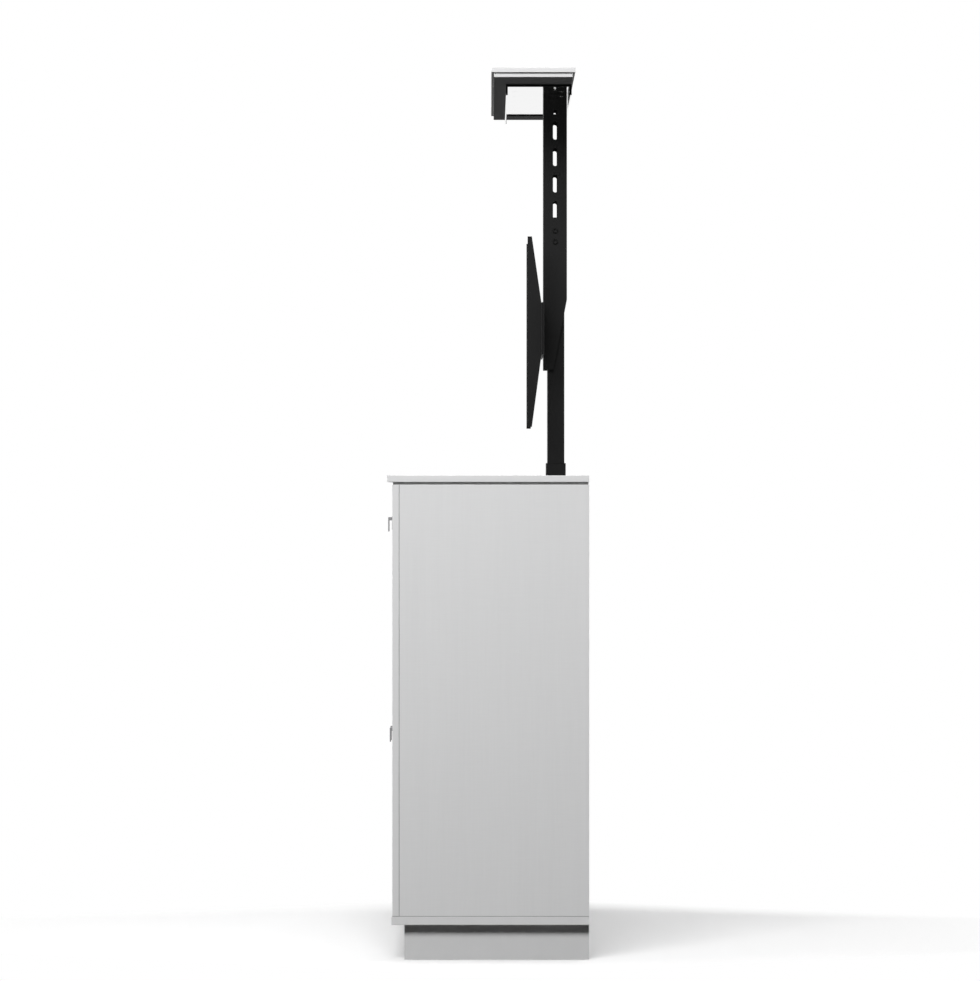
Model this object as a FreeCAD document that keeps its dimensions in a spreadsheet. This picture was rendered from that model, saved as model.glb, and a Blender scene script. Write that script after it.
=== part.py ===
import FreeCAD, Part
import os
import re
import Sketcher

# A cabinet that raises a television on a telescopic column, in millimetres.
# The origin is on the floor under the middle of the whole part. X runs along the cabinet, Y from the
# front to the back and Z up. The part rests with the column raised, and the lid, bracket and tubes come
# down from there.

SIZES = {
    # cabinet
    "width": 1550,
    "carcass_depth": 445,
    "plinth_height": 80,
    "plinth_thick": 18,
    "plinth_setback": 27,
    "plinth_end_setback": 30,
    "bottom_thick": 19,
    "bottom_proud": 2,
    "side_thick": 18,
    "side_height": 976,
    "reveal": 6,
    "reveal_setback": 10,
    "reveal_edge": 1.5,
    "top_thick": 15,
    "top_overhang": 12,
    "back_thick": 8,
    "bay_depth": 210.5,
    "partition_thick": 15,
    "divider_thick": 15,
    "edge_ease": 0.8,
    "top_ease": 1.2,
    # face frame
    "frame_thick": 15,
    "stile_width": 40,
    "rail_height": 23,
    "rail_depth": 40,
    "panel_gap": 3,
    # drawers
    "drawer_height": 176,
    "box_side_gap": 8,
    "box_depth": 184,
    "box_height": 128,
    "box_side_thick": 12,
    "box_floor_thick": 6,
    "runner_width": 20,
    "runner_height": 12,
    "runner_gap": 0.3,
    "runner_sheet": 2.5,
    "runner_lift": 1,
    "runner_end": 1,
    # doors and what is behind them
    "pivot_radius": 3,
    "pivot_collar": 6,
    "pivot_length": 12,
    "pivot_tail": 10,
    "pivot_inset": 10,
    "pivot_back": 6,
    "bore_gap": 0.05,
    "seat_gap": 0.1,
    "door_pull_raise": 5.5,
    "catch_length": 42,
    "catch_height": 12,
    "catch_depth": 18,
    "catch_inset": 26,
    "catch_gap": 0.3,
    "shelf_thick": 15,
    "shelf_gap": 1,
    "shelf_setback": 18,
    "shelf_pin_radius": 2.5,
    "shelf_pin_reach": 11,
    "shelf_pin_seat": 8,
    "shelf_pin_inset": 30,
    # pulls
    "pull_width": 24,
    "pull_height": 33,
    "pull_reach": 14,
    "pull_leg": 7.5,
    "pull_sheet": 3,
    "pull_round": 1.2,
    "pull_inset": 22,
    # holes in the back
    "cable_hole_radius": 30,
    "cable_hole_height": 190,
    "cable_hole_spread": 480,
    "grommet_lip": 5,
    "grommet_wall": 2.5,
    "grommet_lip_thick": 2,
    # lift column
    "column_setback": 58.8,
    "base_width": 250,
    "base_depth": 78,
    "base_thick": 6,
    "gear_height": 40,
    "gear_left": 62,
    "gear_right": 125,
    "motor_radius": 26,
    "motor_height": 150,
    "motor_offset": 95,
    "motor_cap": 12,
    "motor_step": 2,
    "inner_width": 100,
    "inner_depth": 40.4,
    "inner_wall": 2.5,
    "inner_end": 45.7,
    "middle_wall": 2.8,
    "middle_length": 522,
    "outer_wall": 2.5,
    "outer_length": 570,
    "slide_gap": 0.5,
    "tube_round": 3,
    "end_gap": 2,
    "stage_travel": 456,
    "nut_thick": 12,
    "spindle_radius": 8,
    "spindle_length": 495,
    "spindle_seat": 20,
    "bracket_width": 80,
    "bracket_height": 40,
    "bracket_drop": 30,
    "bracket_sheet": 4,
    "control_width": 170,
    "control_depth": 62,
    "control_height": 48,
    "control_offset": 340,
    "control_round": 4,
    # mast
    "mast_width": 135,
    "mast_depth": 56,
    "mast_length": 645,
    "mast_sheet": 2.5,
    "mast_head": 3,
    "mast_gap": 1,
    "mast_cut": 167,
    "mast_cut_depth": 32,
    "slot_width": 10.3,
    "slot_length": 43,
    "slot_pitch": 63,
    "slot_drop": 75,
    "slot_back": 28,
    "pilot_width": 7,
    "pilot_length": 14,
    "pilot_drop": 31.3,
    "spacer_height": 70,
    "spacer_depth": 26,
    "bolt_radius": 4,
    "bolt_spread": 26,
    "bolt_head_radius": 6.5,
    "bolt_head": 5.5,
    # television bracket
    "mount_drop": 552,
    "plate_width": 520,
    "plate_height": 123,
    "plate_depth": 6.3,
    "plate_sheet": 3,
    "arm_spacing": 400,
    "arm_width": 30,
    "arm_sheet": 2.5,
    "arm_height": 449,
    "arm_drop": 6.5,
    "arm_depth": 32.3,
    "arm_end_depth": 10,
    "arm_flat": 127,
    "hang_slot_width": 6.5,
    "hang_slot_length": 30,
    "hang_hole_end": 24.5,
    "hang_slot_end": 124.5,
    "hang_hole_radius": 4.2,
    "mount_bolt_spread": 60,
    # lid
    "lid_end_inset": 30,
    "lid_depth": 190.5,
    "lid_thick": 10.7,
    "lid_back_margin": 30.8,
    "lip_width": 6.2,
    "plug_thick": 10,
    "plug_gap": 2,
    "seal_thick": 1,
    "seal_width": 5.8,
    "closed_gap": 0.3,
    "backing_thick": 1,
    "tray_length": 1030,
    "tray_width": 151.6,
    "tray_height": 24.5,
    "tray_sheet": 3,
    "tray_back_over": 1.2,
    "screw_radius": 2.5,
    "screw_head_radius": 5,
    "screw_head": 1.6,
    "screw_reach": 9,
    "screw_end": 35,
    "screw_spread": 110,
    "head_screw_spread_x": 90,
    "head_screw_spread_y": 30,
    # room that a cut runs past a face
    "overrun": 5,
}

# Places worked out from the sizes, each a formula of sizes and other places
PLACES = {
    "back_y": "(carcass_depth + pull_reach) / 2",
    "front_y": "(back_y - carcass_depth)",
    "frame_back": "(front_y + frame_thick)",
    "floor_z": "(plinth_height + bottom_thick)",
    "side_top": "(floor_z + side_height)",
    "top_under": "(side_top + reveal)",
    "top_z": "(top_under + top_thick)",
    "side_in": "(width / 2 - side_thick)",
    "bay_back": "(back_y - back_thick)",
    "bay_front": "(bay_back - bay_depth)",
    "store_back": "(bay_front - partition_thick)",
    "open_width": "((width - 4 * stile_width) / 3)",
    "column_pitch": "(open_width + stile_width)",
    "stile_x": "(column_pitch / 2)",
    "drawer_top": "(side_top - panel_gap)",
    "drawer_low": "(drawer_top - drawer_height)",
    "rail_top": "(drawer_low - panel_gap)",
    "rail_low": "(rail_top - rail_height)",
    "door_top": "(rail_low - panel_gap)",
    "door_low": "(floor_z + panel_gap)",
    "runner_top": "(rail_top + runner_height)",
    "box_low": "(runner_top + runner_gap + runner_sheet)",
    "box_half": "(open_width / 2 - box_side_gap)",
    "box_back": "(frame_back + box_depth)",
    "pivot_y": "(front_y + pivot_back)",
    "shelf_low": "((floor_z + rail_low) / 2)",
    "column_y": "(bay_back - column_setback)",
    "base_top": "(floor_z + base_thick)",
    "gear_top": "(base_top + gear_height)",
    "middle_width": "(inner_width + 2 * slide_gap + 2 * middle_wall)",
    "middle_depth": "(inner_depth + 2 * slide_gap + 2 * middle_wall)",
    "outer_width": "(middle_width + 2 * slide_gap + 2 * outer_wall)",
    "outer_depth": "(middle_depth + 2 * slide_gap + 2 * outer_wall)",
    "outer_top": "(gear_top + outer_length)",
    "middle_low": "(gear_top + end_gap + stage_travel)",
    "inner_low": "(gear_top + 2 * end_gap + nut_thick + 2 * stage_travel)",
    "mast_front": "(column_y - outer_depth / 2 - mast_gap - mast_sheet)",
    "mast_back": "(mast_front + mast_depth)",
    "lip_z": "(top_z + seal_thick + closed_gap + 2 * stage_travel)",
    "lid_z": "(lip_z + lid_thick)",
    "plug_z": "(lip_z - plug_thick)",
    "backing_z": "(plug_z - backing_thick)",
    "tray_z": "(backing_z - tray_sheet)",
    "mast_low": "(tray_z - mast_length)",
    "lid_back": "(back_y - lid_back_margin)",
    "lid_front": "(lid_back - lid_depth)",
    "plug_back": "(lid_back - lip_width)",
    "plug_front": "(lid_front + lip_width)",
    "lid_half": "(width / 2 - lid_end_inset)",
    "plug_half": "(lid_half - lip_width)",
    "tray_back": "(plug_back + tray_back_over)",
    "tray_front": "(tray_back - tray_width)",
    "mount_z": "(tray_z - mount_drop)",
    "arm_low": "(mount_z - arm_height / 2 - arm_drop)",
    "arm_front": "(mast_front - plate_depth - arm_depth)",
    "slot_y": "(mast_front + slot_back)",
    "spacer_slot_z": "(tray_z - slot_drop - 4 * slot_pitch)",
    "inner_length": "(spacer_slot_z + inner_end - inner_low)",
    "cable_z": "(floor_z + cable_hole_height)",
}

COLUMNS = {"left": "-column_pitch", "middle": "0", "right": "column_pitch"}
HINGE_SIDE = {"left": "-1", "middle": "-1", "right": "1"}
SIDES = {"left": "-1", "right": "1"}
MAST_SLOTS = 4
TRAY_SCREWS = 3
PARALLEL_SHARE = 0.99

doc = FreeCAD.newDocument("tv_lift_cabinet")
sheet = doc.addObject("Spreadsheet::Sheet", "sizes")
for row, (alias, size) in enumerate(SIZES.items(), start=1):
    sheet.set(f"A{row}", alias)
    sheet.set(f"B{row}", str(size))
    sheet.setAlias(f"B{row}", alias)
doc.recompute()

WORD = re.compile(r"[a-z][a-z_]*")
ALONG_X = FreeCAD.Rotation(FreeCAD.Vector(0, 1, 0), 90)
ALONG_Y = FreeCAD.Rotation(FreeCAD.Vector(1, 0, 0), -90)
ALONG_Z = FreeCAD.Rotation()
nodes = []


def formula(text):
    """A formula in names of sizes and places, as the document reads it."""

    def replace(match):
        word = match.group()
        return formula(PLACES[word]) if word in PLACES else f"sizes.{word}"

    return WORD.sub(replace, text)


def bind(thing, prop, text):
    thing.setExpression(prop, formula(text))


def node(label, thing):
    """Names a finished piece, which is written to a file of that name."""
    thing.Label = label
    nodes.append(thing)
    return thing


def block(x, y, z):
    """A box between pairs of places along each axis."""
    box = doc.addObject("Part::Box", "block")
    for prop, axis, (low, high) in zip(("Length", "Width", "Height"), "xyz", (x, y, z)):
        bind(box, prop, f"({high}) - ({low})")
        bind(box, f"Placement.Base.{axis}", low)
    return box


def rod(radius, length, x, y, z, turn=ALONG_Z):
    """A cylinder that starts at a place and runs along an axis."""
    rod = doc.addObject("Part::Cylinder", "rod")
    rod.Placement = FreeCAD.Placement(FreeCAD.Vector(), turn)
    bind(rod, "Radius", radius)
    bind(rod, "Height", length)
    for axis, place in zip("xyz", (x, y, z)):
        bind(rod, f"Placement.Base.{axis}", place)
    return rod


def joined(*shapes):
    fuse = doc.addObject("Part::MultiFuse", "joined")
    fuse.Shapes = list(shapes)
    return fuse


def group(*shapes):
    """Separate solids that share a node."""
    together = doc.addObject("Part::Compound", "group")
    together.Links = list(shapes)
    return together


def cut(base, *tools):
    cut = doc.addObject("Part::Cut", "cut")
    cut.Base = base
    cut.Tool = tools[0] if len(tools) == 1 else joined(*tools)
    return cut


def eased(base, radius, keep=lambda edge: True):
    """A piece with its edges rounded, or those of its edges that keep picks."""
    doc.recompute()
    fillet = doc.addObject("Part::Fillet", "eased")
    fillet.Base = base
    size = sheet.get(radius)
    edges = enumerate(base.Shape.Edges, start=1)
    fillet.Edges = [(number, size, size) for number, edge in edges if keep(edge)]
    return fillet


def runs_along(edge, axis):
    """True for a straight edge along an axis."""
    way = edge.Vertexes[-1].Point - edge.Vertexes[0].Point
    return abs(way.dot(axis)) > PARALLEL_SHARE * edge.Length


def upright(edge):
    return runs_along(edge, FreeCAD.Vector(0, 0, 1))


def prism(name, outline, length, x, y, z):
    """An outline of (depth, height) points, carried along X from a place."""
    body = doc.addObject("PartDesign::Body", name)
    plane = next(f for f in body.Origin.OriginFeatures if f.Role == "YZ_Plane")
    sketch = body.newObject("Sketcher::SketchObject", name + "_outline")
    sketch.AttachmentSupport = [(plane, "")]
    sketch.MapMode = "FlatFace"
    count = len(outline)
    turn = FreeCAD.Rotation(FreeCAD.Vector(0, 0, 1), 360 / count)
    spots = [FreeCAD.Vector(1, 0, 0)]
    while len(spots) < count:
        spots.append(turn.multVec(spots[-1]))
    for i in range(count):
        sketch.addGeometry(Part.LineSegment(spots[i], spots[(i + 1) % count]))
    for i in range(count):
        sketch.addConstraint(Sketcher.Constraint("Coincident", i, 2, (i + 1) % count, 1))
    for i, places in enumerate(outline):
        for kind, start, text in zip(("DistanceX", "DistanceY"), (spots[i].x, spots[i].y), places):
            number = sketch.addConstraint(Sketcher.Constraint(kind, -1, 1, i, 1, start))
            bind(sketch, f"Constraints[{number}]", text)
    pad = body.newObject("PartDesign::Pad", name + "_pad")
    pad.Profile = sketch
    bind(pad, "Length", length)
    for axis, place in zip("xyz", (x, y, z)):
        bind(body, f"Placement.Base.{axis}", place)
    return body


def long_slot(x, y, z, width, length, reach, turn):
    """A slot with round ends that stands along Z, cut along an axis from a place."""
    half = f"(({length}) - ({width})) / 2"
    ends = [rod(f"({width}) / 2", reach, x, y, f"{z} + {sign} * {half}", turn) for sign in ("-1", "1")]
    across = (f"{x} - ({width}) / 2", f"{x} + ({width}) / 2")
    along = (y, f"{y} + {reach}")
    if turn is ALONG_X:
        across, along = (x, f"{x} + {reach}"), (f"{y} - ({width}) / 2", f"{y} + ({width}) / 2")
    return joined(*ends, block(across, along, (f"{z} - {half}", f"{z} + {half}")))


def tube(width, depth, wall, low, length):
    """A standing rectangular tube about the column's middle, with round outer corners."""

    def bar(inset, start, end):
        half_x = f"({width}) / 2 - {inset}"
        half_y = f"(({depth}) / 2 - {inset})"
        return block(
            (f"-({half_x})", half_x),
            (f"column_y - {half_y}", f"column_y + {half_y}"),
            (start, end),
        )

    shell = eased(bar("0", low, f"{low} + {length}"), "tube_round", upright)
    return cut(shell, bar(wall, f"{low} - overrun", f"{low} + {length} + overrun"))


# Carcass
def half_span(reach):
    return (f"-({reach})", reach)


plinth_x = "width / 2 - plinth_end_setback"
plinth_y = ("front_y + plinth_setback", "back_y")
plinth_z = ("0", "plinth_height")
plinth_in = f"{plinth_x} - plinth_thick"
node(
    "plinth_boards",
    group(
        block(half_span(plinth_x), (plinth_y[0], f"{plinth_y[0]} + plinth_thick"), plinth_z),
        block(half_span(plinth_x), ("back_y - plinth_thick", "back_y"), plinth_z),
        *[
            block(
                (f"{start}", f"{start} + plinth_thick"),
                (f"{plinth_y[0]} + plinth_thick", "back_y - plinth_thick"),
                plinth_z,
            )
            for start in (f"-({plinth_x})", plinth_in)
        ],
    ),
)


def pivot_x(column):
    return f"({COLUMNS[column]} + {HINGE_SIDE[column]} * (open_width / 2 - panel_gap - pivot_inset))"


def pivot_bores(start, length):
    radius = "pivot_radius + bore_gap"
    return [rod(radius, length, pivot_x(column), "pivot_y", start) for column in COLUMNS]


bottom = block(half_span("width / 2"), ("front_y - bottom_proud", "back_y"), ("plinth_height", "floor_z"))
tail_depth = "pivot_tail + bore_gap"
node(
    "bottom_panel",
    cut(eased(bottom, "edge_ease"), *pivot_bores(f"floor_z - ({tail_depth})", f"{tail_depth} + overrun")),
)

# Shelf pins stand in bores of the walls beside each shelf
wall_faces = {
    "left": ("-side_in", "-stile_x - divider_thick / 2"),
    "middle": ("-stile_x + divider_thick / 2", "stile_x - divider_thick / 2"),
    "right": ("stile_x + divider_thick / 2", "side_in"),
}
shelf_y = ("frame_back + shelf_setback", "store_back - shelf_gap")


def shelf_pins(gap):
    """Pins of every shelf, or their bores where a gap is given."""
    pins = []
    for low, high in wall_faces.values():
        for start in (f"{low} - shelf_pin_seat - {gap}", f"{high} - shelf_pin_reach"):
            for place in (f"{shelf_y[0]} + shelf_pin_inset", f"{shelf_y[1]} - shelf_pin_inset"):
                radius = f"shelf_pin_radius + {gap}"
                length = f"shelf_pin_seat + shelf_pin_reach + {gap}"
                pins.append(rod(radius, length, start, place, "shelf_low - shelf_pin_radius", ALONG_X))
    return pins


node("shelf_pins", group(*shelf_pins("0")))
pin_bores = group(*shelf_pins("bore_gap"))

wall_z = ("floor_z", "side_top")
for side, sign in SIDES.items():
    outer = {"left": "-width / 2", "right": "side_in"}[side]
    panel = block((outer, f"{outer} + side_thick"), ("frame_back", "back_y"), wall_z)
    node(f"side_panel_{side}", cut(eased(panel, "edge_ease"), pin_bores))
    stile = {"left": "-width / 2", "right": "width / 2 - stile_width"}[side]
    stile = block((stile, f"{stile} + stile_width"), ("front_y", "frame_back"), wall_z)
    node(f"stile_{side}", eased(stile, "edge_ease"))


def inner_board(sign, thick, y):
    """A standing board about the line between two columns."""
    middle = f"{sign} * stile_x"
    return block((f"{middle} - {thick} / 2", f"{middle} + {thick} / 2"), y, wall_z)


inner_stiles = [inner_board(sign, "stile_width", ("front_y", "frame_back")) for sign in SIDES.values()]
node("inner_stiles", group(*[eased(stile, "edge_ease") for stile in inner_stiles]))
dividers = [inner_board(sign, "divider_thick", ("frame_back", "store_back")) for sign in SIDES.values()]
node("dividers", group(*[cut(divider, pin_bores) for divider in dividers]))

rail_bores = pivot_bores("rail_low - overrun", f"{tail_depth} + overrun")
rails = []
for centre, bore in zip(COLUMNS.values(), rail_bores):
    rail = block(
        (f"{centre} - open_width / 2", f"{centre} + open_width / 2"),
        ("front_y", "front_y + rail_depth"),
        ("rail_low", "rail_top"),
    )
    rails.append(cut(rail, bore))
node("drawer_rails", group(*rails))

node("partition_panel", block(half_span("side_in"), ("store_back", "bay_front"), wall_z))
shelf_z = ("shelf_low", "shelf_low + shelf_thick")
shelves = [
    block((f"{low} + shelf_gap", f"{high} - shelf_gap"), shelf_y, shelf_z)
    for low, high in wall_faces.values()
]
node("shelves", group(*[eased(shelf, "edge_ease") for shelf in shelves]))

# Back panel with two lined cable holes
hole_places = [f"{sign} * cable_hole_spread" for sign in SIDES.values()]
back = block(half_span("side_in"), ("bay_back", "back_y"), wall_z)
back_holes = [
    rod("cable_hole_radius", "back_thick + 2 * overrun", x, "bay_back - overrun", "cable_z", ALONG_Y)
    for x in hole_places
]
node("back_panel", cut(back, *back_holes))


def grommet(x):
    sleeve = rod("cable_hole_radius - bore_gap", "back_thick", x, "bay_back", "cable_z", ALONG_Y)
    flange_y = "bay_back - grommet_lip_thick"
    flange = rod("cable_hole_radius + grommet_lip", "grommet_lip_thick", x, flange_y, "cable_z", ALONG_Y)
    length = "back_thick + grommet_lip_thick + 2 * overrun"
    bore = rod("cable_hole_radius - grommet_wall", length, x, f"{flange_y} - overrun", "cable_z", ALONG_Y)
    return cut(joined(sleeve, flange), bore)


node("cable_grommets", group(*[grommet(x) for x in hole_places]))

# Top, with the opening that the lid closes
opening = block(
    half_span("plug_half + plug_gap"),
    ("plug_front - plug_gap", "plug_back + plug_gap"),
    ("side_top - overrun", "top_z + overrun"),
)
spacer = block(
    half_span("width / 2 - reveal_setback"),
    ("front_y + reveal_edge", "back_y - reveal_edge"),
    ("side_top", "top_under"),
)
node("sub_top_frame", cut(spacer, opening))
top = block(half_span("width / 2"), ("front_y - top_overhang", "back_y"), ("top_under", "top_z"))
node("top_panel", cut(eased(top, "top_ease"), opening))


# Pulls: a bent plate that stands off the face, with its leg at the top
def pull(label, x, face_y, z):
    leg_low = "pull_height - pull_leg"
    outline = [
        ("pull_reach", leg_low),
        ("pull_reach", "pull_height"),
        ("0", "pull_height"),
        ("0", "0"),
        ("pull_sheet", "0"),
        ("pull_sheet", leg_low),
    ]
    place = (f"{x} - pull_width / 2", f"{face_y} - pull_reach", f"{z} - pull_height / 2")
    body = prism(label, outline, "pull_width", *place)
    doc.recompute()
    bent = body.Tip
    edges = []
    for number, edge in enumerate(bent.Shape.Edges, start=1):
        free = edge.CenterOfMass.y < sheet.pull_reach / 2
        if free and runs_along(edge, FreeCAD.Vector(1, 0, 0)):
            edges.append(f"Edge{number}")
    rounds = body.newObject("PartDesign::Fillet", label + "_rounds")
    rounds.Base = (bent, edges)
    bind(rounds, "Radius", "pull_round")
    body.Tip = rounds
    return node(label, body)


# Drawers, each with a box of boards, and a channel that rides on a middle runner
for column, centre in COLUMNS.items():
    face = block(
        (f"{centre} - open_width / 2 + panel_gap", f"{centre} + open_width / 2 - panel_gap"),
        ("front_y", "frame_back"),
        ("drawer_low", "drawer_top"),
    )
    node(f"drawer_front_{column}", eased(face, "edge_ease"))
    pull(f"drawer_pull_{column}", centre, "front_y", "(drawer_low + drawer_top) / 2")
    low_x, high_x = f"{centre} - box_half", f"{centre} + box_half"
    box_z = ("box_low + box_floor_thick", "box_low + box_height")
    inner_x = (f"{low_x} + box_side_thick", f"{high_x} - box_side_thick")
    node(
        f"drawer_box_{column}",
        group(
            block((low_x, high_x), ("frame_back", "box_back"), ("box_low", "box_low + box_floor_thick")),
            block((low_x, inner_x[0]), ("frame_back", "box_back"), box_z),
            block((inner_x[1], high_x), ("frame_back", "box_back"), box_z),
            block(inner_x, ("frame_back", "frame_back + box_side_thick"), box_z),
            block(inner_x, ("box_back - box_side_thick", "box_back"), box_z),
        ),
    )
    slot_half = "runner_width / 2 + runner_gap"
    channel = block(
        (f"{centre} - ({slot_half} + runner_sheet)", f"{centre} + {slot_half} + runner_sheet"),
        ("frame_back", "box_back"),
        ("rail_top + runner_lift", "box_low"),
    )
    slot = block(
        (f"{centre} - ({slot_half})", f"{centre} + {slot_half}"),
        ("frame_back - overrun", "box_back + overrun"),
        ("rail_top - overrun", "runner_top + runner_gap"),
    )
    node(f"drawer_channel_{column}", cut(channel, slot))

node(
    "drawer_runners",
    group(
        *[
            block(
                (f"{centre} - runner_width / 2", f"{centre} + runner_width / 2"),
                ("frame_back + runner_end", "store_back"),
                ("rail_top", "runner_top"),
            )
            for centre in COLUMNS.values()
        ]
    ),
)

# Doors turn on pins in the rail above and the bottom panel below
pins = []
catches = []
for column, centre in COLUMNS.items():
    away = f"(-1 * {HINGE_SIDE[column]})"
    edge_x = f"({centre} + {away} * (open_width / 2 - panel_gap))"
    leaf = block(
        (f"{centre} - open_width / 2 + panel_gap", f"{centre} + open_width / 2 - panel_gap"),
        ("front_y", "frame_back"),
        ("door_low", "door_top"),
    )
    depth = "(pivot_length + bore_gap)"
    bores = [
        rod("pivot_radius + bore_gap", f"{depth} + overrun", pivot_x(column), "pivot_y", start)
        for start in ("door_low - overrun", f"door_top - {depth}")
    ]
    node(f"door_{column}", cut(eased(leaf, "edge_ease"), *bores))
    pull(
        f"door_pull_{column}",
        f"({edge_x} - {away} * pull_inset)",
        "front_y",
        "(door_low + door_top) / 2 + door_pull_raise",
    )
    collar = "panel_gap - seat_gap"
    for start, collar_start in (
        ("floor_z - pivot_tail", "floor_z"),
        ("door_top - pivot_length", f"rail_low - ({collar})"),
    ):
        length = "pivot_tail + panel_gap + pivot_length"
        stem = rod("pivot_radius", length, pivot_x(column), "pivot_y", start)
        pins.append(joined(stem, rod("pivot_collar", collar, pivot_x(column), "pivot_y", collar_start)))
    catch_x = f"({edge_x} - {away} * (catch_inset + catch_length / 2))"
    catch_y = "frame_back + catch_gap"
    catches.append(
        block(
            (f"{catch_x} - catch_length / 2", f"{catch_x} + catch_length / 2"),
            (catch_y, f"{catch_y} + catch_depth"),
            ("rail_low - catch_height", "rail_low"),
        )
    )
node("door_pivot_pins", group(*pins))
node("door_catches", group(*catches))

# Lift column, with its screw drive, on the floor of the rear bay
base_y = ("column_y - base_depth / 2", "column_y + base_depth / 2")
node("lift_base_plate", block(("-base_width / 2", "base_width / 2"), base_y, ("floor_z", "base_top")))
gear_y = ("column_y - outer_depth / 2", "column_y + outer_depth / 2")
gear = eased(block(("-gear_left", "gear_right"), gear_y, ("base_top", "gear_top")), "tube_round", upright)
seat = rod("spindle_radius + bore_gap", "spindle_seat + overrun", "0", "column_y", "gear_top - spindle_seat")
node("lift_gearbox", cut(gear, seat))
motor_top = "gear_top + motor_height"
node(
    "lift_motor",
    joined(
        rod("motor_radius", "motor_height", "motor_offset", "column_y", "gear_top"),
        rod("motor_radius - motor_step", "motor_cap", "motor_offset", "column_y", motor_top),
    ),
)
screw_length = "spindle_seat + spindle_length"
node("lift_screw", rod("spindle_radius", screw_length, "0", "column_y", "gear_top - spindle_seat"))
node("outer_tube", tube("outer_width", "outer_depth", "outer_wall", "gear_top", "outer_length"))
node("middle_tube", tube("middle_width", "middle_depth", "middle_wall", "middle_low", "middle_length"))
nut_half_x = "middle_width / 2 - middle_wall"
nut_half_y = "(middle_depth / 2 - middle_wall)"
nut = block(
    half_span(nut_half_x),
    (f"column_y - {nut_half_y}", f"column_y + {nut_half_y}"),
    ("middle_low", "middle_low + nut_thick"),
)
nut_length = "nut_thick + 2 * overrun"
nut_bore = rod("spindle_radius + bore_gap", nut_length, "0", "column_y", "middle_low - overrun")
node("drive_nut", cut(nut, nut_bore))

bolt_places = [f"spacer_slot_z + {sign} * bolt_spread / 2" for sign in SIDES.values()]


def mast_bolt_bores(start, length):
    return [rod("bolt_radius + bore_gap", length, start, "slot_y", z, ALONG_X) for z in bolt_places]


inner = tube("inner_width", "inner_depth", "inner_wall", "inner_low", "inner_length")
node("inner_tube", cut(inner, *mast_bolt_bores("-width / 2", "width")))

bracket_z = ("outer_top - bracket_drop - bracket_height", "outer_top - bracket_drop")
bracket_y = ("column_y + outer_depth / 2", "bay_back")
bracket = block(half_span("bracket_width / 2"), bracket_y, bracket_z)
hollow = block(
    half_span("bracket_width / 2 + overrun"),
    (f"{bracket_y[0]} + bracket_sheet", "bay_back - bracket_sheet"),
    (f"{bracket_z[0]} + bracket_sheet", f"{bracket_z[1]} + overrun"),
)
node("column_bracket", cut(bracket, hollow))
control_y = ("column_y - control_depth / 2", "column_y + control_depth / 2")
control = block(
    ("-control_offset - control_width / 2", "-control_offset + control_width / 2"),
    control_y,
    ("floor_z", "floor_z + control_height"),
)
node("control_box", eased(control, "control_round", upright))

# Mast: a channel, open at the back, that closes round the tubes when it comes down
mast = block(half_span("mast_width / 2"), ("mast_front", "mast_back"), ("mast_low", "tray_z"))
mast_hollow = block(
    half_span("mast_width / 2 - mast_sheet"),
    ("mast_front + mast_sheet", "mast_back + overrun"),
    ("mast_low - overrun", "tray_z - mast_head"),
)
flange_cut = prism(
    "flange_cut",
    [("0", "0"), ("mast_cut_depth", "0"), ("mast_cut_depth", "mast_cut")],
    "mast_width + 2 * overrun",
    "-mast_width / 2 - overrun",
    "mast_back - mast_cut_depth",
    "mast_low",
)
mast_slots = [
    long_slot(
        "-width / 2",
        "slot_y",
        f"tray_z - slot_drop - {number} * slot_pitch",
        "slot_width",
        "slot_length",
        "width",
        ALONG_X,
    )
    for number in range(MAST_SLOTS)
]
pilot_size = ("pilot_width", "pilot_length", "width")
pilot = long_slot("-width / 2", "slot_y", "tray_z - pilot_drop", *pilot_size, ALONG_X)


def screw_places():
    """(x, y, z) of each screw that goes up into the lid, at the sheet that its head bears on."""
    tray_y = "(tray_front + tray_back) / 2"
    steps = range(1, TRAY_SCREWS + 1)
    pitch = f"(tray_length / 2 - screw_end) / {TRAY_SCREWS}"
    far = [f"{sign} * {step} * {pitch}" for sign in SIDES.values() for step in steps]
    places = [(x, f"{tray_y} + {s} * screw_spread / 2", "tray_z") for x in far for s in SIDES.values()]
    for x in SIDES.values():
        for y in SIDES.values():
            place = (f"{x} * head_screw_spread_x / 2", f"column_y + {y} * head_screw_spread_y / 2")
            places.append((*place, "tray_z - mast_head"))
    return places


def lid_screw(x, y, z, gap="0"):
    """A screw whose head is flush with the underside of its sheet, or its bore where a gap is given."""
    return joined(
        rod(f"screw_radius + {gap}", f"screw_reach + {gap}", x, y, z),
        rod(f"screw_head_radius + {gap}", f"screw_head + {gap}", x, y, z),
    )


screw_bores = group(*[lid_screw(*place, "bore_gap") for place in screw_places()])
mast_solid = cut(mast, mast_hollow, flange_cut, pilot, *mast_slots, *mast_bolt_bores("-width / 2", "width"))
node("mast", cut(mast_solid, screw_bores))


def spacer_block(sign):
    inside, outside = f"{sign} * inner_width / 2", f"{sign} * (mast_width / 2 - mast_sheet)"
    low, high = (outside, inside) if sign == "-1" else (inside, outside)
    spacer_y = ("slot_y - spacer_depth / 2", "slot_y + spacer_depth / 2")
    spacer_z = ("spacer_slot_z - spacer_height / 2", "spacer_slot_z + spacer_height / 2")
    return cut(block((low, high), spacer_y, spacer_z), *mast_bolt_bores("-width / 2", "width"))


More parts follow.
